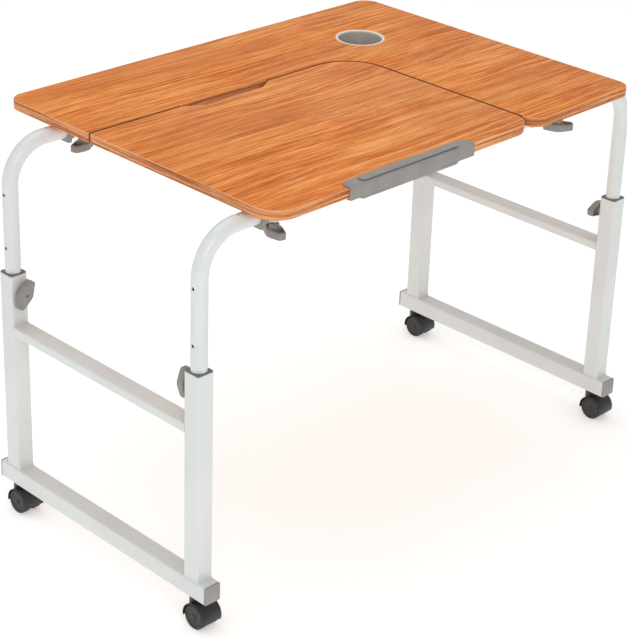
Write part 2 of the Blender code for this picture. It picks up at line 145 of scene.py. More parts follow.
def wood_laminate(name, shift, painted_seam_shade=None):
    """Cherry-toned print: close level lines, slow patches of tone, faint arches, and greyer pore fields."""
    wood = Finish(name, coat=0.02)
    wood.shader.inputs["Specular IOR Level"].default_value = 0.18
    wood.shader.inputs["Coat Roughness"].default_value = 0.35
    x, y, z = wood.place.split()
    slow = wood.noise(wood.joined(x * 2.2 + shift, y * 6.0, z), 1.0, 2.0)
    wander = wood.noise(wood.joined(x * 9.0, y * 26.0 + shift, z), 1.0, 2.0)
    across = y + (slow - 0.5) * 0.050 + (wander - 0.5) * 0.0065
    lines = wood.noise(wood.joined(x * 5.0 + shift, across * 205.0, z), 1.0, 3.0, 0.70)
    threads = wood.noise(wood.joined(x * 30.0, across * 480.0 + shift, z), 1.0, 2.0, 0.6)
    patches = wood.noise(wood.joined(x * 4.2 + shift, across * 17.0, z), 1.0, 3.0, 0.55)
    tint = wood.noise(wood.joined(x * 3.0 - shift, across * 11.0 + 7.0, z), 1.0, 2.0)
    arches = (across * 1050.0 + slow * 34.0 + wander * 5.0).sine() * patches.between(0.48, 0.60)
    tone = 0.51 + (lines - 0.5) * 1.35 + (patches - 0.5) * 0.50 + (threads - 0.5) * 0.55 + arches * 0.075
    face = wood.ramp(
        tone,
        (0.20, (0.420, 0.085, 0.007)),
        (0.36, (0.600, 0.140, 0.016)),
        (0.50, (0.760, 0.223, 0.036)),
        (0.64, (0.880, 0.325, 0.078)),
        (0.82, (0.960, 0.450, 0.150)),
    )
    face = wood.mix(tint.between(0.42, 0.68) * 0.36, face, (0.640, 0.205, 0.048))
    field = wood.noise(wood.joined(x * 5.0, across * 22.0 + 3.0 + shift, z), 1.0, 2.0).between(0.53, 0.66)
    pores = wood.noise(wood.joined(x * 75.0, across * 620.0, z), 1.0, 2.0, 0.6)
    pore_mask = pores.between(0.52, 0.64) * (field * 0.75 + 0.14)
    face = wood.mix(pore_mask * 0.55, face, (0.380, 0.165, 0.072))
    # the band's print runs round the edge in close level lines
    level_lines = wood.noise(wood.joined(x * 5.0, y * 5.0, z * 330.0 + shift), 1.0, 3.0, 0.65)
    flecks = wood.noise(wood.joined(x * 70.0, y * 70.0, z * 700.0), 1.0, 2.0)
    band = wood.ramp(
        0.5 + (level_lines - 0.5) * 2.5 + (flecks - 0.5) * 0.5,
        (0.22, (0.340, 0.100, 0.034)),
        (0.50, (0.610, 0.225, 0.082)),
        (0.78, (0.850, 0.400, 0.180)),
    )
    level = abs(wood.facing.split()[2])
    on_edge = 1 - level.between(0.35, 0.60)
    on_arris = level.between(0.25, 0.50) * (1 - level.between(0.93, 0.992))
    body = wood.mix(on_edge, face, band)
    # painted highlight: the chamfered arris faces, top and bottom, are coloured light orange as a highlight line
    body = wood.mix(on_arris * 0.75, body, (0.960, 0.500, 0.240))
    # painted shade: the walls along the seam, arris included, are coloured dark brown where the gap lies in shadow
    if painted_seam_shade is not None:
        body = wood.mix(painted_seam_shade(x, y) * on_edge.most(on_arris) * 0.92, body, (0.140, 0.034, 0.007))
    wood.drive("Base Color", body)
    wood.drive("Roughness", 0.44 + threads * 0.14 + pore_mask * 0.15)
    wood.bump(lines * 0.8 + threads * 0.5 - pore_mask * 0.8, 0.00014, 0.5)
    return wood.material


def rounded(corners, steps=8):
    """Corner list (x, y, radius) to the points of its outline."""
    out = []
    for index, (x, y, radius) in enumerate(corners):
        corner = Vector((x, y))
        if radius <= 0:
            out.append((x, y))
            continue
        before = (Vector(corners[index - 1][:2]) - corner).normalized()
        after = (Vector(corners[(index + 1) % len(corners)][:2]) - corner).normalized()
        half = before.angle(after) / 2
        centre = corner + (before + after).normalized() * (radius / math.sin(half))
        start = corner + before * (radius / math.tan(half)) - centre
        end = corner + after * (radius / math.tan(half)) - centre
        first = math.atan2(start.y, start.x)
        turn = (math.atan2(end.y, end.x) - first + math.pi) % (2 * math.pi) - math.pi
        for step in range(steps + 1):
            angle = first + turn * step / steps
            out.append((centre.x + radius * math.cos(angle), centre.y + radius * math.sin(angle)))
    return out


def circle(x, y, radius, count=48):
    turns = [2 * math.pi * step / count for step in range(count)]
    return [(x + radius * math.cos(turn), y + radius * math.sin(turn)) for turn in turns]


def link(name, mesh):
    made = bpy.data.objects.new(name, mesh)
    bpy.context.scene.collection.objects.link(made)
    return made


def settled(source):
    """The finished mesh of an object, its loose seams welded."""
    bpy.context.view_layer.update()
    mesh = bpy.data.meshes.new_from_object(source.evaluated_get(bpy.context.evaluated_depsgraph_get()))
    work = bmesh.new()
    work.from_mesh(mesh)
    bmesh.ops.remove_doubles(work, verts=work.verts, dist=1e-6)
    bmesh.ops.recalc_face_normals(work, faces=work.faces)
    work.to_mesh(mesh)
    work.free()
    return mesh


def plate(name, loops, low, high, arris=0.0, rounds=1):
    """A flat outline with holes, filled and extruded between two heights, with a rounded arris."""
    curve = bpy.data.curves.new(name, "CURVE")
    curve.dimensions, curve.fill_mode = "2D", "BOTH"
    curve.extrude, curve.offset = (high - low) / 2 - arris, -arris
    curve.bevel_depth, curve.bevel_resolution = arris, rounds
    for loop in loops:
        spline = curve.splines.new("POLY")
        spline.points.add(len(loop) - 1)
        for point, (x, y) in zip(spline.points, loop):
            point.co = (x, y, 0.0, 1.0)
        spline.use_cyclic_u = True
    source = link(name + "_outline", curve)
    mesh = settled(source)
    bpy.data.objects.remove(source)
    bpy.data.curves.remove(curve)
    mesh.transform(Matrix.Translation((0, 0, (low + high) / 2)))
    return link(name, mesh)


def at(x, y, z):
    return Matrix.Translation((x, y, z))


def turned_by(degrees, axis):
    return Matrix.Rotation(math.radians(degrees), 4, axis)


def shown(piece, material, body, *nodes, matrix=None, smooth=30):
    """Gives a piece its finish and place, and makes it ride on its body in place of its CAD nodes."""
    if matrix is not None:
        piece.matrix_world = matrix
    piece.data.materials.clear()
    piece.data.materials.append(material)
    for face in piece.data.polygons:
        face.use_smooth = smooth > 0
    if smooth > 0:
        piece.data.set_sharp_from_angle(angle=math.radians(smooth))
    bpy.context.view_layer.update()
    if nodes:
        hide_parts(*nodes)
    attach(piece, body)
    return piece


def middle(node):
    low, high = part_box(node)
    return (Vector(low) + Vector(high)) / 2


board_low, board_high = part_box("fixed_panel")
panel_low, panel_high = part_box("tilt_panel")
cup_low, cup_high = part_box("cup_holder")
cup_middle, cup_r = middle("cup_holder"), (cup_high[0] - cup_low[0]) / 2
SEAM, ARRIS = 0.003, 0.0010
OUTER_R, WING_R, INNER_R, PANEL_R = 0.028, 0.026, 0.070, 0.040
seam_x, seam_y = panel_high[0] + SEAM, panel_high[1] + SEAM
board = plate(
    "fixed_board",
    [
        rounded(
            [
                (seam_x, board_low[1], WING_R),
                (board_high[0], board_low[1], OUTER_R),
                (board_high[0], board_high[1], OUTER_R),
                (board_low[0], board_high[1], OUTER_R),
                (board_low[0], seam_y, 0.004),
                (seam_x, seam_y, INNER_R + SEAM),
            ],
            14,
        ),
        circle(cup_middle.x, cup_middle.y, cup_r + 0.0002, 64),
    ],
    board_low[2],
    board_high[2],
    ARRIS,
    2,
)
CUT_DEPTH, CUT_X = 0.019, (-0.220, -0.186, -0.066, -0.036)


def painted_seam_shade(x, y):
    """Painted shade on the board's walls along the seam, where the narrow gap lies in shadow: they are coloured dark
    over the band, less so beside the finger cut-out.
    """
    near = 0.002
    along_seam = (x < seam_x + near) * (y < seam_y + near)
    inside = (y > board_low[1] + OUTER_R) * (x > board_low[0] + near)
    at_cut = (x > CUT_X[0]) * (x < CUT_X[3]) * (y > 0)
    return along_seam * inside * (1 - at_cut * 0.55)


shown(board, wood_laminate("wood_laminate_fixed", 0.0, painted_seam_shade), "tabletop", "fixed_panel")

# ==================================================================================================
# Tilting panel: the same laminated board, hinged on the front sleeve by two clips. Its rear edge has a
# long shallow cut-out for the fingers, and its inner rear corner has a large radius.
# ==================================================================================================
panel = plate(
    "tilting_board",
    [
        rounded(
            [
                (panel_low[0], panel_low[1], PANEL_R),
                (panel_high[0], panel_low[1], PANEL_R),
                (panel_high[0], panel_high[1], INNER_R),
                (CUT_X[3], panel_high[1], 0.006),
                (CUT_X[2], panel_high[1] - CUT_DEPTH, 0.022),
                (CUT_X[1], panel_high[1] - CUT_DEPTH, 0.022),
                (CUT_X[0], panel_high[1], 0.006),
                (panel_low[0], panel_high[1], 0.004),
            ],
            12,
        )
    ],
    panel_low[2],
    panel_high[2],
    ARRIS,
    2,
)
shown(panel, wood_laminate("wood_laminate_panel", 0.37), "tilting_panel", "tilt_panel")


# ==================================================================================================
# Cup holder: a moulded beige plastic cup, tapered, with a narrow rounded flange let into the board so
# that its rim lies flush. The wall is satin inside, with painted shade below the rim that grows darker towards the
# floor.
# ==================================================================================================
def turned(name, profile, steps=48):
    """A profile (radius, height) turned about local Z."""
    mesh = bpy.data.meshes.new(name)
    count = len(profile)
    joins = count if profile[0][0] > 1e-9 else count - 1
    points = [(radius, 0.0, height) for radius, height in profile]
    mesh.from_pydata(points, [(index, (index + 1) % count) for index in range(joins)], [])
    made = link(name, mesh)
    screw = made.modifiers.new("turn", "SCREW")
    screw.axis, screw.use_merge_vertices, screw.merge_threshold = "Z", True, 0.00001
    screw.steps = screw.render_steps = steps
    made.data = settled(made)
    made.modifiers.clear()
    return made


def moulded(name, colour, roughness=0.48, grain=1100.0, depth=0.00006, mottle=0.10):
    """Injection-moulded plastic: spark-eroded grain, faint flow mottling and paler rubbed edges."""
    plastic = Finish(name, roughness)
    grains = plastic.noise(plastic.place, grain, 2.0, 0.6)
    flow = plastic.noise(plastic.place, 38.0, 3.0, 0.55)
    dark, light = [tuple(channel * factor for channel in colour) for factor in (1 - mottle, 1 + mottle)]
    shade = plastic.mix(flow.between(0.30, 0.70), dark, light)
    rubbed = tuple(min(1.0, channel * 1.25 + 0.03) for channel in colour)
    speck = plastic.noise(plastic.place, 420.0, 1.0).between(0.66, 0.74)
    plastic.drive("Base Color", plastic.mix(speck * 0.25, shade, rubbed))
    plastic.drive("Roughness", roughness - 0.06 + grains * 0.12)
    plastic.bump(grains, depth, 0.6)
    return plastic


cup = turned(
    "cup_liner",
    [
        (0.0, -0.0450),
        (0.0265, -0.0450),
        (0.0285, -0.0440),
        (0.0290, -0.0425),
        (0.0298, -0.0300),
        (0.0335, -0.0215),
        (0.0365, -0.0120),
        (0.0377, -0.0018),
        (cup_r, -0.0015),
        (cup_r, -0.0007),
        (cup_r - 0.0004, -0.0001),
        (cup_r - 0.0012, 0.0),
        (cup_r - 0.0030, 0.0),
        (cup_r - 0.0039, -0.0003),
        (cup_r - 0.0045, -0.0011),
        (0.0362, -0.0060),
        (0.0350, -0.0120),
        (0.0320, -0.0212),
        (0.0287, -0.0290),
        (0.0277, -0.0400),
        (0.0268, -0.0428),
        (0.0250, -0.0433),
        (0.0, -0.0433),
    ],
    96,
)
cup_plastic = moulded("cup_plastic", (0.60, 0.53, 0.46), 0.42)
depth = cup_plastic.place.split()[2] * -1
# painted shade: the wall is coloured darker below the rim and darker still towards the floor of the cup, where the
# inside lies in shadow
wall = cup_plastic.mix(depth.between(0.0006, 0.0030), (0.84, 0.76, 0.68), (0.40, 0.36, 0.31))
cup_plastic.drive("Base Color", cup_plastic.mix(depth.between(0.0060, 0.0400), wall, (0.20, 0.175, 0.145)))
place = at(cup_middle.x, cup_middle.y, cup_high[2])
shown(cup, cup_plastic.material, "tabletop", "cup_holder", matrix=place)


# ==================================================================================================
# Sleeves and crossbars: white powder-coated steel under the boards. Two 30 mm round sleeves run the
# long way, with a hex nut welded under each end for a clamp knob. Two square bars, welded between
# them, keep them parallel.
# ==================================================================================================
def powder_coat(name, marks=None):
    """White satin powder coat: orange peel, a faint cast, and thin grey scuffs."""
    coat = Finish(name, coat=0.35)
    coat.shader.inputs["Coat Roughness"].default_value = 0.13
    peel = coat.noise(coat.place, 520.0, 2.0, 0.5)
    cast = coat.noise(coat.place, 7.0, 2.0)
    white = coat.mix(cast.between(0.30, 0.70), (0.680, 0.712, 0.698), (0.726, 0.757, 0.744))
    scuffs = coat.noise(coat.place.scaled(90.0, 90.0, 14.0), 1.0, 4.0, 0.7).between(0.69, 0.76)
    white = coat.mix(scuffs * 0.16, white, (0.52, 0.53, 0.53))
    if marks is not None:
        white = coat.mix(marks(coat), white, (0.16, 0.17, 0.18))
    coat.drive("Base Color", white)
    coat.drive("Roughness", 0.32 + peel * 0.10 + scuffs * 0.14)
    coat.bump(peel, 0.00010, 0.45)
    return coat.material


def eased(piece, width, segments=3, angle=40):
    """Rounds a piece's edges with a bevel."""
    ease = piece.modifiers.new("ease", "BEVEL")
    ease.width, ease.segments, ease.limit_method, ease.angle_limit = width, segments, "ANGLE", math.radians(angle)
    return ease


def kept(node, material, edge=0.0004):
    """A CAD node that keeps its shape, with its edges eased."""
    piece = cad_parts[node]
    piece.data.materials.clear()
    piece.data.materials.append(material)
    eased(piece, edge, 2).harden_normals = True


white_coat = powder_coat("white_powder_coat")
SLEEVE_WALL, NUT_R, NUT_H = 0.002, 0.0065, 0.0045
for end in ("front", "rear"):
    low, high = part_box(f"{end}_sleeve")
    radius, half = (high[1] - low[1]) / 2, (high[0] - low[0]) / 2
    bore, lip = radius - SLEEVE_WALL, 0.0006
    sleeve = turned(
        f"sleeve_tube_{end}",
        [
            (radius, half - lip), (radius, -half + lip), (radius - lip, -half), (bore + lip, -half),
            (bore, -half + lip), (bore, half - lip), (bore + lip, half), (radius - lip, half),
        ],
        40,
    )
    place = at(0, middle(f"{end}_sleeve").y, high[2] - radius) @ turned_by(90, "Y")
    shown(sleeve, white_coat, "tabletop", f"{end}_sleeve", matrix=place)
    for side in ("left", "right"):
        nut = plate(f"sleeve_nut_{side}_{end}", [circle(0, 0, NUT_R, 6)], low[2], low[2] + NUT_H, 0.0004)
        knob_middle = middle(f"table_knob_{side}_{end}")
        shown(nut, white_coat, "tabletop", matrix=at(knob_middle.x, knob_middle.y, 0))
for side in ("left", "right"):
    kept(f"crossbar_{side}", white_coat)


def bead(name, loop, size, body, matrix):
    """A weld bead laid along a closed line, its ripples standing proud of both pieces."""
    curve = bpy.data.curves.new(name, "CURVE")
    curve.dimensions, curve.bevel_depth, curve.bevel_resolution = "3D", size, 2
    spline = curve.splines.new("POLY")
    points = []
    for index, (x, y) in enumerate(loop):
        after = loop[(index + 1) % len(loop)]
        steps = max(1, round(math.dist((x, y), after) / 0.0016))
        points += [(x + (after[0] - x) * s / steps, y + (after[1] - y) * s / steps) for s in range(steps)]
    spline.points.add(len(points) - 1)
    for index, (point, (x, y)) in enumerate(zip(spline.points, points)):
        point.co = (x, y, 0.0, 1.0)
        point.radius = 1.0 + 0.22 * math.sin(index * 2.1) + 0.10 * math.sin(index * 0.77)
    spline.use_cyclic_u = True
    source = link(name + "_line", curve)
    piece = link(name, settled(source))
    bpy.data.objects.remove(source)
    bpy.data.curves.remove(curve)
    return shown(piece, white_coat, body, matrix=matrix, smooth=60)


def square(half_x, half_y, radius=0.0025, steps=5):
    corners = [(-half_x, -half_y), (half_x, -half_y), (half_x, half_y), (-half_x, half_y)]
    return rounded([(x, y, radius) for x, y in corners], steps)


for side in ("left", "right"):
    low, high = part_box(f"crossbar_{side}")
    centre = middle(f"crossbar_{side}")
    for end, y in (("front", low[1]), ("rear", high[1])):
        place = at(centre.x, y, centre.z) @ turned_by(90, "X")
        bead(f"crossbar_weld_{side}_{end}", square(0.0098, 0.0098, 0.002, 2), 0.0013, "tabletop", place)


# ==================================================================================================
# Clips, saddles and rest tabs: pressed zinc-plated strip. The clips wrap the sleeves and are screwed
# to the boards from below; the two under the tilting panel turn on the sleeve. The tabs under the
# seam carry the panel's rear edge. Each is held by small pan-head wood screws.
# ==================================================================================================
zinc = Finish("zinc_steel", 0.32, 1.0)
brush = zinc.noise(zinc.place.scaled(1400.0, 60.0, 60.0), 1.0, 3.0, 0.6)
spangle = zinc.noise(zinc.place, 150.0, 2.0)
zinc.drive("Base Color", zinc.mix(spangle.between(0.35, 0.65), (0.50, 0.51, 0.52), (0.66, 0.67, 0.66)))
zinc.drive("Roughness", 0.26 + brush * 0.16)
zinc.bump(brush, 0.00003, 0.4)


def screw(name, body, where, material, radius=0.0034):
    """A pan-head cross-recess screw driven upwards, its head facing down."""
    head = turned(
        name,
        [
            (0.0, 0.0), (radius, 0.0), (radius, 0.0006), (radius * 0.92, 0.0012), (radius * 0.70, 0.0018),
            (radius * 0.40, 0.0021), (0.0, 0.0021),
        ][::-1],
        20,
    )
    slot, arm = 0.0004, 0.0017
    corner = [(slot, -arm), (slot, -slot), (arm, -slot)]
    outline = []
    for _ in range(4):
        outline += corner
        corner = [(-y, x) for x, y in corner]
    carve(head, plate("cross", [outline], 0.0010, 0.0040))
    return shown(head, material, body, matrix=at(*where) @ turned_by(180, "X"))


def carve(piece, *cutters, operation="DIFFERENCE"):
    """Cuts the cutters out of a piece, or joins them to it, and drops them."""
    for cutter in cutters:
        cut = piece.modifiers.new("cut", "BOOLEAN")
        cut.operation, cut.solver, cut.object = operation, "EXACT", cutter
        piece.data = settled(piece)
        piece.modifiers.clear()
        bpy.data.objects.remove(cutter)
    return piece


CLIPS = {
    "hinge_clip_left": "tilting_panel",
    "hinge_clip_right": "tilting_panel",
    "saddle_front_right": "tabletop",
    "saddle_rear_left": "tabletop",
    "saddle_rear_right": "tabletop",
}
CLIP_INSET, TAB_INSET, FOOT_T = 0.007, 0.010, 0.0021
for node, body in CLIPS.items():
    kept(node, zinc.material, 0.0005)
    low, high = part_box(node)
    centre = middle(node)
    for number, y in enumerate((low[1] + CLIP_INSET, high[1] - CLIP_INSET)):
        screw(f"{node}_screw_{number}", body, (centre.x, y, high[2] - FOOT_T), zinc.material)
for side in ("left", "right"):
    node = f"rest_tab_{side}"
    kept(node, zinc.material, 0.0005)
    low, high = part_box(node)
    for number, x in enumerate((low[0] + TAB_INSET, high[0] - TAB_INSET)):
        screw(f"{node}_screw_{number}", "tabletop", (x, high[1] - TAB_INSET, low[2] - 0.0001), zinc.material)

# ==================================================================================================
# Sleeve collars: grey moulded plastic, pushed over the end of each sleeve where the bent tube comes
# out. A short ring grips the sleeve, and a thin flange faces the end, square below and round above.
# ==================================================================================================
grey_plastic = moulded("grey_plastic", (0.270, 0.262, 0.252)).material
for side in ("left", "right"):
    for end in ("front", "rear"):
        kept(f"sleeve_collar_{side}_{end}", grey_plastic, 0.0006)

# ==================================================================================================
# Bent tubes: 25 mm round steel, white powder coat, one per leg. Each rises out of its post, bends in
# under the board and slides in its sleeve. The outer side is drilled with two locking holes and has
# a printed scale of short ticks between them; a third hole sits on top where the bend ends.
# ==================================================================================================
TUBE_R, TUBE_WALL, BEND_R = 0.0125, 0.0015, 0.065
LOCK_HOLES, LOCK_HOLE_R, TOP_HOLE_X, TOP_HOLE_R = (-0.076, -0.164), 0.0029, 0.070, 0.0024


def tube_scale(sign):
    """Short ticks every 11 mm up the outer side, between the two locking holes."""
    def marks(coat):
        x, y, z = coat.place.split()
        step = ((z + 0.1634) / 0.0110).fraction()
        tick = (abs(step - 0.5) < 0.030) * (abs(y) < 0.0022) * (x * sign > 0.0115)
        return tick * (z > -0.158) * (z < -0.084) * 0.45
    return marks


for side, sign in (("left", -1), ("right", 1)):
    coat = powder_coat(f"white_powder_coat_scale_{side}", tube_scale(sign))
    for end in ("front", "rear"):
        node = f"bent_tube_{side}_{end}"
        low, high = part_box(node)
        axis_x = (low[0] if sign < 0 else high[0]) - sign * TUBE_R
        axis_z, reach = high[2] - TUBE_R, high[0] - low[0] - TUBE_R
        path = [(0, 0, low[2] - axis_z)]
        for step in range(25):
            turn = math.radians(90) * step / 24
            path.append((-sign * BEND_R * (1 - math.cos(turn)), 0, BEND_R * (math.sin(turn) - 1)))
        path.append((-sign * reach, 0, 0))
        curve = bpy.data.curves.new(node, "CURVE")
        curve.dimensions, curve.bevel_depth, curve.bevel_resolution = "3D", TUBE_R, 14
        spline = curve.splines.new("POLY")
        spline.points.add(len(path) - 1)
        for point, xyz in zip(spline.points, path):
            point.co = (*xyz, 1.0)
        source = link(node + "_line", curve)
        tube = link(f"tube_{side}_{end}", settled(source))
        bpy.data.objects.remove(source)
        bpy.data.curves.remove(curve)
        wall = tube.modifiers.new("wall", "SOLIDIFY")
        wall.thickness, wall.offset = TUBE_WALL, -1
        tube.data = settled(tube)
        tube.modifiers.clear()
        holes = [(LOCK_HOLE_R, at(0, 0, z) @ turned_by(90 * sign, "Y")) for z in LOCK_HOLES]
        for radius, hole_place in holes + [(TOP_HOLE_R, at(-sign * TOP_HOLE_X, 0, 0))]:
            drill = turned("drill", [(0.0, 0.03), (radius, 0.03), (radius, 0.0), (0.0, 0.0)], 20)
            drill.data.transform(hole_place)
            carve(tube, drill)
        place = at(axis_x, middle(node).y, axis_z)
        shown(tube, coat, f"{side}_tubes", node, matrix=place, smooth=35)

# ==================================================================================================
# Leg frames: 30 mm square posts standing on a 30 mm square bottom rail, with a flat 30 x 15 mm rail
# between them. The tubes are welded all round at each joint, ground a little and powder coated.
# ==================================================================================================
POST_WALL, KNOB_HOLE_R = 0.0015, 0.0040
KNOB_Z = (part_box("post_knob_left_front")[0][2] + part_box("post_knob_left_front")[1][2]) / 2


def square_tube(name, node, along, corner=0.0026):
    """A square or flat tube the size of its CAD node, hollow, with drawn corners and soft cut ends."""
    low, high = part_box(node)
    size = Vector(high) - Vector(low)
    length = size[along]
    wide, deep = (size.x, size.y) if along == 2 else (size.x, size.z)
    outer = square(wide / 2, deep / 2, corner, 6)
    inner = square(wide / 2 - POST_WALL, deep / 2 - POST_WALL, 0.001, 3)
    piece = plate(name, [outer, inner], -length / 2, length / 2, 0.0003, 0)
    return piece, at(*middle(node)) @ turned_by(0 if along == 2 else 90, "X")


for side in ("left", "right"):
    body = f"{side}_leg_frame"
    for end in ("front", "rear"):
        node = f"post_{side}_{end}"
        inward = 1 if end == "front" else -1
        piece, place = square_tube(f"post_tube_{side}_{end}", node, 2)
        hole = turned("hole", [(0.0, 0.02), (KNOB_HOLE_R, 0.02), (KNOB_HOLE_R, 0.008), (0.0, 0.008)], 24)
        centre = middle(node)
        hole.data.transform(at(0, 0, KNOB_Z - centre.z) @ turned_by(-90 * inward, "X"))
        carve(piece, hole)
        shown(piece, white_coat, body, node, matrix=place)
        foot = at(centre.x, centre.y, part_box(node)[0][2] + 0.0004)
        bead(f"post_weld_{side}_{end}", square(0.0150, 0.0150, 0.0028, 3), 0.0014, body, foot)
    for node, kind in ((f"bottom_rail_{side}", "bottom"), (f"mid_rail_{side}", "middle")):
        piece, place = square_tube(f"{kind}_rail_tube_{side}", node, 1, 0.0026 if kind == "bottom" else 0.0020)
        shown(piece, white_coat, body, node, matrix=place)
    low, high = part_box(f"mid_rail_{side}")
    centre = middle(f"mid_rail_{side}")
    for end, y in (("front", low[1]), ("rear", high[1])):
        place = at(centre.x, y, centre.z) @ turned_by(90, "X")
        bead(f"mid_rail_weld_{side}_{end}", square(0.0146, 0.0074, 0.0020, 2), 0.0012, body, place)

# ==================================================================================================
# Post collars and rail end caps: grey moulded plastic. A collar is pressed into the top of each post
# and guides the round tube, with a thin rim standing round it. A cap closes each end of the bottom rails.
# ==================================================================================================
COLLAR_BORE, CORNER_R = TUBE_R + 0.0003, 0.0028
collar_plastic = moulded("collar_plastic", (0.150, 0.148, 0.145), 0.46).material
cap_plastic = moulded("cap_plastic", (0.300, 0.292, 0.285), 0.50).material
for side in ("left", "right"):
    body = f"{side}_leg_frame"
    for end in ("front", "rear"):
        node = f"post_collar_{side}_{end}"
        centre = middle(node)
        bore = circle(0, 0, COLLAR_BORE, 48)
        rim_side = [
            (COLLAR_BORE + 0.0010, 0.0), (COLLAR_BORE + 0.0012, -0.0010), (COLLAR_BORE, -0.0010), (COLLAR_BORE, 0.0),
        ]
        flange_plan = square(0.0148, 0.0148, CORNER_R, 5)
        flange = plate(f"collar_{side}_{end}", [flange_plan, bore], -0.0022, -0.0005, 0.0004, 2)
        carve(flange, turned("rim", rim_side, 48), operation="UNION")
        plug = plate("plug", [square(0.0132, 0.0132, 0.002, 2), bore], -0.0172, -0.0020)
        carve(flange, plug, operation="UNION")
        place = at(centre.x, centre.y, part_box(node)[1][2])
        shown(flange, collar_plastic, body, node, matrix=place, smooth=35)

        node, out = f"end_cap_{side}_{end}", -1 if end == "front" else 1
        low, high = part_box(node)
        centre = middle(node)
        cap = plate(f"rail_cap_{side}_{end}", [square(0.015, 0.015, CORNER_R, 5)], -0.0027, 0.0, 0.0008, 2)
        plug = plate("plug", [square(0.0131, 0.0131, 0.002, 2)], -0.0125, -0.0020)
        carve(cap, plug, operation="UNION")
        face_y = low[1] if out < 0 else high[1]
        place = at(centre.x, face_y, centre.z) @ turned_by(-90 * out, "X")
        shown(cap, cap_plastic, body, node, matrix=place)

# ==================================================================================================
# Clamp knobs: grey moulded plastic, a long lozenge with a hollow back on a round hub and a short stud.
# Four clamp the posts on the tubes, and four under the board clamp the tubes in the sleeves.
# ==================================================================================================
KNOB_L, KNOB_W, TIP_W, BACK_Z, TIP_Z, CROWN_Z, STUD = 0.048, 0.025, 0.0116, 0.0073, 0.0184, 0.0197, 0.0019
wing_plan = rounded(
    [
        (-KNOB_L / 2, -TIP_W / 2, 0.0035), (0.0, -KNOB_W / 2, 0.012), (KNOB_L / 2, -TIP_W / 2, 0.0035),
        (KNOB_L / 2, TIP_W / 2, 0.0035), (0.0, KNOB_W / 2, 0.012), (-KNOB_L / 2, TIP_W / 2, 0.0035),
    ],
    6,
)
wing_side = rounded(
    [
        (-0.025, BACK_Z, 0), (0.025, BACK_Z, 0), (0.025, TIP_Z, 0), (0.008, CROWN_Z, 0.03),
        (-0.008, CROWN_Z, 0.03), (-0.025, TIP_Z, 0),
    ],
    4,
)


def upright(piece):
    piece.data.transform(turned_by(90, "X"))
    return piece


def wing_knob(name):
    knob = plate(name, [wing_plan], -0.01, 0.03)
    carve(knob, upright(plate("sweep", [wing_side], -0.02, 0.02)), operation="INTERSECT")
    eased(knob, 0.0014, 3, 35)
    knob.data = settled(knob)
    knob.modifiers.clear()
    for out in (-1, 1):
        hollow_plan = [(0.0086, -0.0078), (0.0208, -0.0044), (0.0208, 0.0044), (0.0086, 0.0078)]
        floor_side = [(0.0080, -0.005), (0.0220, -0.005), (0.0220, 0.0150), (0.0080, 0.0115)]
        hollow_plan, floor_side = [[(out * x, y) for x, y in loop][::out] for loop in (hollow_plan, floor_side)]
        hollow = plate("hollow", [hollow_plan], -0.01, 0.03)
        carve(hollow, upright(plate("depth", [floor_side], -0.02, 0.02)), operation="INTERSECT")
        carve(knob, hollow)
    hub = turned(
        "hub",
        [(0.0, 0.0120), (0.0078, 0.0120), (0.0078, 0.0060), (0.0072, 0.0052), (0.0072, 0.0010), (0.0067, 0.0005),
         (0.0030, 0.0005), (0.0030, -STUD), (0.0, -STUD)],
        32,
    )
    dimple = turned("dimple", [(0.0, 0.0300), (0.0022, 0.0300), (0.0020, 0.0162), (0.0, 0.0160)], 24)
    carve(knob, hub, operation="UNION")
    return carve(knob, dimple)


knob_mesh = wing_knob("knob_pattern")
POST_TURN = {"left_front": 90, "left_rear": 60, "right_front": -6, "right_rear": 90}
TABLE_TURN = {"left_front": -77, "left_rear": -15, "right_front": 46, "right_rear": -30}
for side in ("left", "right"):
    for end in ("front", "rear"):
        tag, inward = f"{side}_{end}", 1 if end == "front" else -1
        low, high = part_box(f"post_{tag}")
        centre = middle(f"post_{tag}")
        face_y = high[1] if inward > 0 else low[1]
        knob = link(f"post_wing_knob_{tag}", knob_mesh.data.copy())
        place = at(centre.x, face_y, KNOB_Z) @ turned_by(-90 * inward, "X") @ turned_by(POST_TURN[tag], "Z")
        shown(knob, grey_plastic, f"post_knob_{tag}", f"post_knob_{tag}", matrix=place, smooth=40)

        centre = middle(f"table_knob_{tag}")
        hub_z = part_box(f"table_knob_{tag}")[1][2] - 0.0021
        knob = link(f"table_wing_knob_{tag}", knob_mesh.data.copy())
        place = at(centre.x, centre.y, hub_z) @ turned_by(180, "X") @ turned_by(TABLE_TURN[tag], "Z")
        shown(knob, grey_plastic, f"table_knob_{tag}", f"table_knob_{tag}", matrix=place, smooth=40)
bpy.data.objects.remove(knob_mesh)

# ==================================================================================================
# Stopper: a long grey plastic channel clipped over the panel's front edge, with a deeper lip in the
# middle held by screws from below, and a round-ended bar on top that folds up to stop a book sliding.
# ==================================================================================================
stop_low, stop_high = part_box("stopper_clip")
bar_low, bar_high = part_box("stopper_ledge")
top_z, under_z = panel_high[2], panel_low[2]
front_y, wall_y, back_y = stop_low[1], stop_low[1] + 0.0032, stop_high[1]
GAP, FLANGE_T, LIP_T, TOP_T = 0.0003, 0.0031, 0.0068, 0.0022
channel_side = [
    (front_y, under_z - FLANGE_T), (back_y - 0.002, under_z - FLANGE_T), (back_y - 0.002, under_z - GAP),
    (wall_y, under_z - GAP), (wall_y, top_z + GAP), (back_y, top_z + GAP),
    (back_y, top_z + TOP_T), (front_y, top_z + TOP_T),
]
TO_SIDE = Matrix(((0, 0, 1, 0), (1, 0, 0, 0), (0, 1, 0, 0), (0, 0, 0, 1)))  # outline (y, z), extruded along X
channel = plate("stopper_channel", [channel_side], stop_low[0], stop_high[0])
channel.data.transform(TO_SIDE)
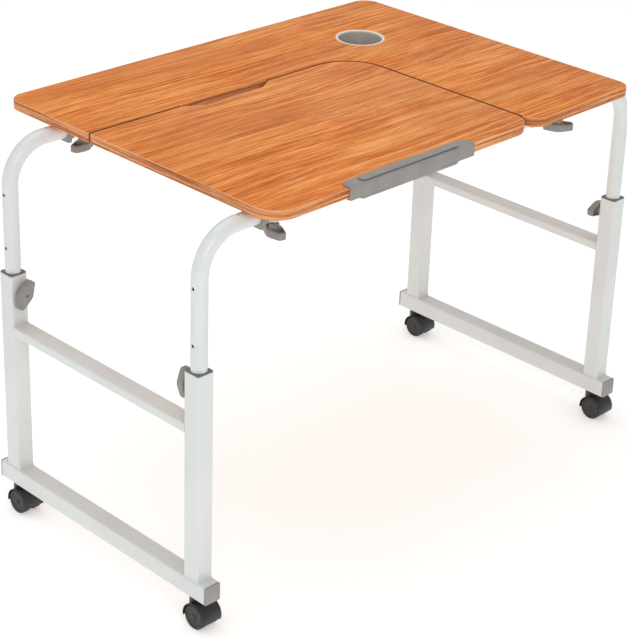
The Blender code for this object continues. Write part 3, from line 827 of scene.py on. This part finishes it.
plan = rounded(
    [
        (stop_low[0], front_y, 0.0020), (stop_high[0], front_y, 0.0020),
        (stop_high[0], back_y, 0.0125), (stop_low[0], back_y, 0.0125),
    ],
    8,
)
carve(channel, plate("plan", [plan], 0.0, 1.0), operation="INTERSECT")
lip_side = [
    (-0.2350, -FLANGE_T), (-0.2310, -LIP_T), (-0.0320, -LIP_T), (-0.0280, -FLANGE_T), (-0.0280, -0.0020),
    (-0.2350, -0.0020),
]
lip = plate("lip", [[(x, under_z + z) for x, z in lip_side]], -0.0100, 0.0100)
lip.data.transform(at(0, front_y + 0.0100, 0) @ turned_by(90, "X"))
carve(channel, lip, operation="UNION")
eased(channel, 0.0007)
channel.data = settled(channel)
channel.modifiers.clear()
stopper_plastic = moulded("stopper_plastic", (0.285, 0.265, 0.248), 0.45, 1500.0, 0.00004, 0.06).material
shown(channel, stopper_plastic, "tilting_panel", "stopper_clip", smooth=35)
half_x, half_y = (bar_high[0] - bar_low[0]) / 2, (bar_high[1] - bar_low[1]) / 2
bar = plate("page_bar", [square(half_x, half_y, half_y - 0.0001, 16)], -0.0015, 0.0015, 0.0012, 4)
shown(bar, stopper_plastic, "page_ledge", "stopper_ledge", matrix=at(*middle("stopper_ledge")), smooth=50)
dark_screw = moulded("blackened_screw", (0.030, 0.030, 0.032), 0.40)
dark_screw.shader.inputs["Metallic"].default_value = 0.6
SCREWS = ((-0.205, 0.018, FLANGE_T), (-0.160, 0.006, LIP_T), (-0.057, 0.018, FLANGE_T))
for number, (x, inset, drop) in enumerate(SCREWS):
    where = (x, front_y + inset, under_z - drop)
    screw(f"stopper_screw_{number}", "tilting_panel", where, dark_screw.material, 0.0028)

# ==================================================================================================
# Casters: black nylon twin wheels under a moulded hood that turns on a stem in the rail. Each wheel
# has a matt tread, a dished disc with a raised rim and a small centre cap.
# ==================================================================================================
hood_plastic = moulded("hood_plastic", (0.020, 0.020, 0.021), 0.38, 900.0, 0.00005, 0.15).material
wheel_plastic = moulded("wheel_plastic", (0.026, 0.026, 0.027), 0.50, 700.0, 0.00008, 0.18)
radius_out = wheel_plastic.place.scaled(1.0, 1.0, 0.0)
radius_out = wheel_plastic.node("ShaderNodeVectorMath", {"operation": "LENGTH"}, {0: radius_out}, "Value")
specks = wheel_plastic.noise(wheel_plastic.place, 260.0, 4.0, 0.7).between(0.45, 0.70)
dust = specks * radius_out.between(0.0192, 0.0198)
wheel_plastic.drive("Base Color", wheel_plastic.mix(dust * 0.45, (0.024, 0.024, 0.025), (0.120, 0.115, 0.108)))
WHEEL_R, WHEEL_W, WEB, TRAIL = 0.020, 0.0135, 0.009, 0.010


def caster_hood(name, axle_z):
    arc = [math.radians(196 - 206 * step / 36) for step in range(37)]
    hood_r, half = WHEEL_R + 0.0026, WEB / 2 + WHEEL_W + 0.0010
    outline = [(-TRAIL + hood_r * math.cos(turn), axle_z + hood_r * math.sin(turn)) for turn in arc]
    hood = plate(name, [outline], -half, half, 0.0007, 2)
    hood.data.transform(TO_SIDE)
    boss_side = [(0.0, -0.0160), (0.0125, -0.0160), (0.0125, -0.0013), (0.0117, -0.0004), (0.0, -0.0004)]
    carve(hood, turned("boss", boss_side, 40), operation="UNION")
    for out in (-1, 1):
        pocket_r = WHEEL_R + 0.0010
        pocket = turned("pocket", [(0.0, 0.0), (pocket_r, 0.0), (pocket_r, 0.03), (0.0, 0.03)], 56)
        pocket.data.transform(
            Matrix(((0, 0, out, out * WEB / 2), (1, 0, 0, -TRAIL), (0, out, 0, axle_z), (0, 0, 0, 1)))
        )
        carve(hood, pocket)
    axle = turned("axle", [(0.0, -0.0155), (0.0030, -0.0155), (0.0030, 0.0155), (0.0, 0.0155)], 20)
    axle.data.transform(at(0, -TRAIL, axle_z) @ TO_SIDE)
    return carve(hood, axle, operation="UNION")


def caster_wheel(name):
    width = WHEEL_W
    profile = [
        (0.0, width - 0.0002), (0.0030, width - 0.0002), (0.0036, width - 0.0007), (0.0040, width - 0.0016),
        (0.0060, width - 0.0018), (0.0150, width - 0.0012), (0.0160, width - 0.0002), (0.0172, width),
        (0.0186, width - 0.0004), (0.0196, width - 0.0014), (WHEEL_R, width - 0.0030), (WHEEL_R, width / 2 + 0.0006),
        (WHEEL_R - 0.0004, width / 2 + 0.0003), (WHEEL_R - 0.0004, width / 2 - 0.0003), (WHEEL_R, width / 2 - 0.0006),
        (WHEEL_R, 0.0014), (0.0195, 0.0006), (0.0188, 0.0003), (0.0033, 0.0003), (0.0033, width - 0.0025),
        (0.0, width - 0.0025),
    ]
    return turned(name, profile, 48)


for side, sign in (("left", -1), ("right", 1)):
    for end in ("front", "rear"):
        tag = f"{side}_{end}"
        post = middle(f"post_{tag}")
        rail_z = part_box(f"bottom_rail_{side}")[0][2]
        hood = caster_hood(f"hood_{tag}", WHEEL_R - rail_z)
        place = at(post.x, post.y, rail_z)
        shown(hood, hood_plastic, f"caster_{tag}", f"caster_hood_{tag}", matrix=place, smooth=35)
        for wheel_side, out in (("outer", sign), ("inner", -sign)):
            wheel = caster_wheel(f"wheel_{tag}_{wheel_side}")
            place = at(post.x + out * WEB / 2, post.y - TRAIL, WHEEL_R) @ turned_by(90 * out, "Y")
            node = f"caster_wheel_{tag}_{wheel_side}"
            shown(wheel, wheel_plastic.material, f"wheel_{tag}_{wheel_side}", node, matrix=place, smooth=30)

# ==================================================================================================
# Studio: a plain pale floor, a bright even surround and two large soft lamps. The camera stands at the
# front left corner, a little above the board.
# ==================================================================================================
floor_mesh = bpy.data.meshes.new("floor")
work = bmesh.new()
bmesh.ops.create_grid(work, x_segments=1, y_segments=1, size=14.0)
work.to_mesh(floor_mesh)
work.free()
floor = link("floor", floor_mesh)
paper = Finish("floor_paper", 0.9)
paper.shader.inputs["Base Color"].default_value = (0.93, 0.93, 0.92, 1.0)
paper.shader.inputs["Emission Color"].default_value = (1.0, 1.0, 0.985, 1.0)
paper.shader.inputs["Emission Strength"].default_value = 0.36
paper.shader.inputs["Specular IOR Level"].default_value = 0.1
floor.data.materials.append(paper.material)

world = bpy.data.worlds.new("studio")
world.use_nodes = True
world.node_tree.nodes["Background"].inputs["Color"].default_value = (1.0, 1.0, 1.0, 1.0)
world.node_tree.nodes["Background"].inputs["Strength"].default_value = 0.60
bpy.context.scene.world = world


def lamp(name, where, towards, size, power):
    data = bpy.data.lights.new(name, "AREA")
    data.shape, data.size, data.energy = "DISK", size, power
    made = link(name, data)
    aim = (Vector(towards) - Vector(where)).to_track_quat("-Z", "Y")
    made.matrix_world = at(*where) @ aim.to_matrix().to_4x4()


lamp("key_lamp", (-1.7, -2.1, 1.9), (-0.2, 0.0, 0.40), 1.6, 17)
lamp("top_lamp", (-0.2, 0.5, 3.2), (0.0, 0.0, 0.50), 2.4, 22)

azimuth, elevation, roll = math.radians(-45.52), math.radians(25.26), math.radians(1.93)
level = math.cos(elevation)
back = Vector((math.sin(azimuth) * level, -math.cos(azimuth) * level, math.sin(elevation)))
right = (-back).cross(Vector((0, 0, 1))).normalized()
up = right.cross(-back)
right, up = right * math.cos(roll) + up * math.sin(roll), up * math.cos(roll) - right * math.sin(roll)
eye = Vector((-0.0091, 0.0088, 0.350)) + back * 3.2036
camera_data = bpy.data.cameras.new("camera")
camera_data.lens, camera_data.sensor_width, camera_data.shift_y = 109.54, 36.0, -0.078
camera_data.clip_end = 60.0
camera = link("camera", camera_data)
camera.matrix_world = at(*eye) @ Matrix((right, up, back)).transposed().to_4x4()
bpy.context.scene.camera = camera
bpy.context.scene.view_settings.view_transform = "Standard"
